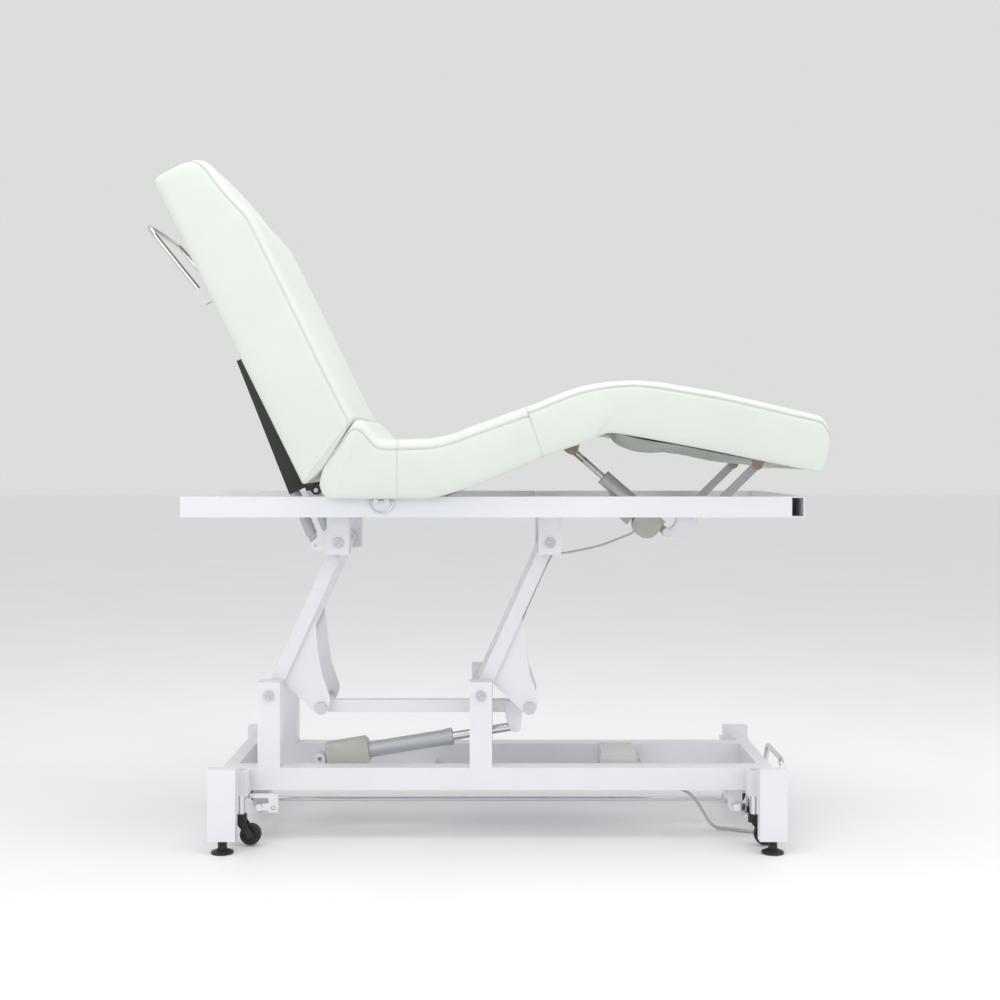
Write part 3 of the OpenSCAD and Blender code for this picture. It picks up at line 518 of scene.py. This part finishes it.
# Cross-sections as cushion() takes them.
SEAT_KEYS = [(-374, 838, -378, 823, 14, 0), (-362, 860, -382, 801, 8, 0), (-331, 905, -376, 782, 4, 0),
             (-310, 936, -364, 772, 1, 4), (-298, 942, -350, 770, 0, 16), (-285, 937, -330, 770, 0, 16.3),
             (-270, 920, -305, 770, 0, 16.3), (-256, 905, -282, 770, 0, 16.3),
             (-240, 900, -255, 770, 0, 16.3),
             (-215, 900, -215, 770, 0, 16.3)]
MIDDLE_KEYS = [(-215, 900, -215, 770, 0, 16.3), (-180, 901, -180, 770, 0, 16.3),
               (-144, 903, -140, 771.5, 0, 15),
               (-101, 912, -92, 784, 0, 12), (-59, 928, -44, 800, 0, 14), (5, 951, 30, 830, 0, 17),
               (60, 971, 98, 859, 0, 18.5)]
LEG_KEYS = [(60, 971, 98, 859, 0, 18.5), (91, 982, 125, 869, 0, 19), (130, 998, 155, 880, 0, 20),
            (176, 1014, 184, 889, 0, 20.3), (219, 1023, 205, 896, 0, 20), (262, 1027.5, 222, 907, 0, 17),
            (305, 1028, 250, 911, 0, 16.3), (345, 1025, 300, 903, 0, 16.3), (390, 1018, 362, 892, 0, 16.3),
            (476, 1003, 452, 875, 0, 16.3), (561, 984, 538, 857.5, 0, 16.3), (628, 968, 610, 843, 0, 16.3),
            (688, 954, 672, 830.5, 0, 16), (703, 945, 686, 829.5, 2, 2), (711, 930, 699, 837, 6, 0),
            (714, 911, 709, 864, 11, 0), (714, 900, 712.5, 884, 14, 0)]
# Creases on the sides: two ends in the side view, depth and width, all in mm.
KNEE_CREASES = [((206, 899), (240, 936), 3.4, 5), ((213, 905), (264, 948), 2.8, 5),
                ((226, 912), (290, 944), 2.4, 6), ((150, 884), (128, 916), 1.4, 7)]
SEAT_CREASES = [((-324, 850), (-318, 890), 2.2, 6), ((-346, 800), (-334, 842), 1.8, 7),
                ((-296, 842), (-290, 872), 1.2, 6)]
BACK_CREASES = [((-422, 902), (-366, 918), 1.6, 5), ((-402, 838), (-384, 872), 1.8, 6),
                ((-470, 1010), (-448, 1050), 1.0, 7)]


def make_cushions(mats):
    """The four dressed pads. Each list of folds holds (x, z, reach, depth, pitch) in mm."""
    leather = mats["sage_leather"]
    back = cushion("back_pad", back_keys(), 9, leather, 19.6, 20, BACK_CREASES,
                   [(-360, 860, 70, 3.0, 20), (-640, 1330, 150, 1.2, 45)])
    seat = cushion("seat_pad", SEAT_KEYS, 7, leather, 36.5, 25, SEAT_CREASES,
                   [(-300, 915, 60, 3.2, 16)])
    middle = cushion("thigh_pad", MIDDLE_KEYS, 8, leather, 36.5, 25, (),
                     [(-120, 905, 70, 2.2, 26), (30, 950, 90, 1.2, 50)])
    legs = cushion("calf_pad", LEG_KEYS, 8, leather, 36.5, 19, KNEE_CREASES,
                   [(250, 1020, 120, 1.6, 40), (560, 980, 140, 1.2, 55)])
    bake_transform(back)
    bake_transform(seat)
    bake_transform(middle)
    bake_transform(legs)
    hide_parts("back_cushion")
    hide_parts("seat_cushion")
    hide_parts("thigh_cushion")
    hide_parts("calf_cushion")


def painted_shade_cloth_points(table, half, across):
    """The outer and then the inner skin of the dark sheet that paints shade under the calf rest, a
    millimetre apart, row by row along table.
    """
    kx, kz = pivot("knee_bend")
    cos, sin = math.cos(CALF_ANGLE), math.sin(CALF_ANGLE)
    verts = []
    for lift in (0.0, 1.0):
        for c, w in table:
            for k in range(across + 1):
                y = half * (2 * k / across - 1)
                sag = (1 - abs(y / half) ** 3)
                depth = min(-1.0, w * (0.25 + 0.75 * sag))
                depth += 1.5 * noise.noise(Vector((c / 26, y / 60, 3.0))) * sag
                depth = min(-0.6, depth) + lift
                verts.append(Vector(((kx + c * cos + depth * sin + SHIFT) / 1000, y / 1000,
                                     (kz - c * sin + depth * cos) / 1000)))
    return verts


def make_painted_shade_cloth(mats):
    """A slack cloth sheet that hangs under the calf board; its dark colour is painted shade on the calf
    rest's underside.
    """
    table = smooth_line([(14, -4), (30, -24), (60, -33), (100, -33), (150, -23), (200, -21), (260, -21),
                         (320, -16), (380, -8), (410, -3)], 5)
    across = 16
    row, layer = across + 1, len(table) * (across + 1)
    last = (len(table) - 1) * row
    faces = []
    for i in range(len(table) - 1):
        for k in range(across):
            a = i * row + k
            faces.append((a, a + 1, a + row + 1, a + row))
            faces.append((layer + a, layer + a + row, layer + a + row + 1, layer + a + 1))
    for k in range(across):
        faces.append((k, layer + k, layer + k + 1, k + 1))
    for k in range(last, last + across):
        faces.append((k, k + 1, layer + k + 1, layer + k))
    for a in range(0, last, row):
        b = a + across
        faces.append((a, a + row, layer + a + row, layer + a))
        faces.append((b, layer + b, layer + b + row, b + row))
    # The sheet's darker leather tone paints the shade under the calf rest.
    obj = link_mesh("calf_painted_shade_cloth", painted_shade_cloth_points(table, 150, across), faces, mats["painted_shade_cloth"])
    tidy_normals(obj)
    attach(obj, "calf_rest")


# ---------------------------------------------------------------- cords

# The lead's hank on the floor: its middle and turn, end radius, half its straight and its layers, in mm.
HANK_AT, HANK_TURN = (648.0, 0.0), math.radians(-10)
HANK_R, HANK_HALF, HANK_LAYERS = 22.5, 60.0, 3
CORD_D = 7.0                        # the mains lead's diameter
TRAY_HANK_AT = (-10, -36)           # the middle of the hank in the tray


def from_hank(x, y, z):
    """A point measured from the floor hank's middle, in mm from the base's middle."""
    cos, sin = math.cos(HANK_TURN), math.sin(HANK_TURN)
    return HANK_AT[0] + x * cos - y * sin, HANK_AT[1] + x * sin + y * cos, z


def racetrack(radius, half, low, pitch, turns):
    """A flat oval wound upwards, from the left side's near end; it climbs along the near arc.

    The last turn is its left side only, where the tail leaves.
    """
    arc_steps, straight_steps = 12, 6
    out = []
    for turn in range(turns):
        z = low + turn * pitch
        out += [(-radius, -half + 2 * half * k / straight_steps, z) for k in range(straight_steps)]
        if turn == turns - 1:
            break
        for k in range(arc_steps):
            a = math.pi * k / arc_steps
            out.append((-radius * math.cos(a), half + radius * math.sin(a), z))
        out += [(radius, half - 2 * half * k / straight_steps, z) for k in range(straight_steps)]
        for k in range(arc_steps):
            t = k / arc_steps
            a = math.pi * t
            out.append((radius * math.cos(a), -half - radius * math.sin(a), z + pitch * t * t * (3 - 2 * t)))
    return out


def make_cords(mats):
    """The mains lead: down from the control box, along the floor, through its hank and to the plug."""
    grey = mats["cable_grey"]
    path = [(336, -30, 134), (352, -44, 132), (366, -64, 126), (388, -84, 113), (412, -96, 104),
            (434, -99, 94), (452, -96, 76), (468, -92, 52), (484, -84, 26), (502, -72, 9), (524, -64, 4.2),
            (545, -75, 4), (568, -88, 4), (584, -95, 4), (597, -95, 4), (607, -87, 4)]
    wound = [from_hank(*p) for p in racetrack(HANK_R, HANK_HALF, 4.0, 7.3, HANK_LAYERS + 1)]
    tail = ((-22.5, 62, 25.9), (-23, 73, 24), (-22, 83, 16), (-18, 93, 8), (-14, 103, 4.6), (-9, 116, 5),
            (-5, 128, 10), (-3, 138, 13.8), (-3, 147, 14.4))
    head = smooth_line(path + [wound[0]], 5)
    end = smooth_line([wound[-1]] + [from_hank(*p) for p in tail], 4)
    whole = in_row(head[:-1] + wound + end[1:])
    cord = link_tube("mains_lead", whole, CORD_D / 2000, grey)
    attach(cord, "base")
    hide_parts("mains_cord", "mains_hank")
    tie = make_tie(mats)


def make_tie(mats):
    """A wire tie round the straight of the floor hank that is nearer the foot end."""
    pts = []
    for k in range(25):
        a = 2 * math.pi * k / 24
        pts.append(from_hank(HANK_R + 5.2 * math.cos(a), 4.0, 15.0 + 14.2 * math.sin(a)))
    tie = link_tube("hank_tie", in_row(pts), 0.0008, mats["black_plastic"])
    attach(tie, "base")
    return tie


def make_lift_cable(mats):
    """The lift drive's cable to the control box, with its tied spare length in the tray."""
    grey = mats["cable_grey"]
    start = (-300, -32, 141)
    lift = smooth_line([start, (-270, -20, 136), (-235, -3, 131), (-190, 14, 131), (-150, 20, 131.5),
                        (-100, 8, 132), (-20, 10, 132), (60, 18, 131), (115, -8, 128), (160, -20, 122),
                        (205, -24, 127), (226, -26, 131)], 6)
    run = tube_mesh("lift_cable", in_row(lift), 0.003, grey)
    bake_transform(run)
    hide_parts("tray_cable")
    for lane, radius in enumerate((13.8, 19.6, 25.2)):
        line = [(TRAY_HANK_AT[0] + y, TRAY_HANK_AT[1] + x, z)
                for x, y, z in racetrack(radius, 72, 120.1, 5.7, 3)]
        loop = link_tube("tray_hank_%d" % lane, in_row(line), 0.0027, grey)
        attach(loop, "base")


def make_leg_cable(mats):
    """The leg drive's cable, from the gearmotor to the upper frame."""
    motor = smooth_line([(318, -37, 688), (306, -38, 680), (280, -44, 670), (240, -54, 656), (196, -64, 646),
                         (160, -74, 640), (138, -84, 638), (133, -84, 637)], 6)
    run = tube_mesh("leg_drive_cable", in_row(motor), 0.0025, mats["cable_grey"])
    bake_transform(run)
    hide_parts("motor_cable")


# ---------------------------------------------------------------- small pieces

def screw_head(name, x, z, side, body, mats):
    """A socket-head screw in an axle's end, with its recess, on the near (-1) or far (1) side."""
    radius, count = 6.0, 18
    profile = [(radius, 0), (radius, 1.6), (radius * 0.86, 2.2), (radius * 0.5, 2.2), (radius * 0.46, 1.0),
               (0.01, 1.0)]
    verts = []
    for r, high in profile:
        for k in range(count):
            a = 2 * math.pi * k / count
            verts.append(Vector(((x + r * math.cos(a) + SHIFT) / 1000, side * (AXLE_END + high) / 1000,
                                 (z + r * math.sin(a)) / 1000)))
    faces = band_faces(len(profile), count)
    faces.append(tuple(range(count)))
    obj = link_mesh(name, verts, faces, mats["zinc_pin"])
    tidy_normals(obj)
    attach(obj, body)


def make_screws(mats):
    """One screw in each end of the four lever axles."""
    foot_x, foot_z = pivot("lift_drive")
    head_x, head_z = pivot("head_lever_turn")
    top_x, top_z = pivot("frame_level")
    places = (("foot", foot_x, foot_z, "base"), ("head", head_x, head_z, "base"),
              ("foot", top_x, top_z, "upper_frame"), ("head", top_x + head_x - foot_x, top_z, "upper_frame"))
    for end, x, z, body in places:
        for side, tag in ((-1, "near"), (1, "far")):
            screw_head("axle_screw_%s_%s_%s" % (body, end, tag), x, z, side, body, mats)


def make_floor():
    """A plain pale floor, far wider than the view."""
    mat, nodes, links, shader = new_material("floor_paint")
    coord = add(nodes, "ShaderNodeTexCoord").outputs["Object"]
    soft = noise_at(nodes, links, coord, 2.0, 3.0)
    links.new(two_tone(nodes, links, soft.outputs["Fac"], (0.93, 0.935, 0.94), (0.95, 0.955, 0.96)),
              shader.inputs["Base Color"])
    shader.inputs["Roughness"].default_value = 0.5
    size = 30
    floor = link_mesh("floor", [(-size, -size, 0), (size, -size, 0), (size, size, 0), (-size, size, 0)],
                      [(0, 1, 2, 3)], mat)


make_camera()
make_light()
MATS = make_materials()
make_cords(MATS)
dress_nodes(MATS)
make_cushions(MATS)
make_painted_shade_cloth(MATS)
make_lift_cable(MATS)
make_leg_cable(MATS)
make_screws(MATS)
make_floor()
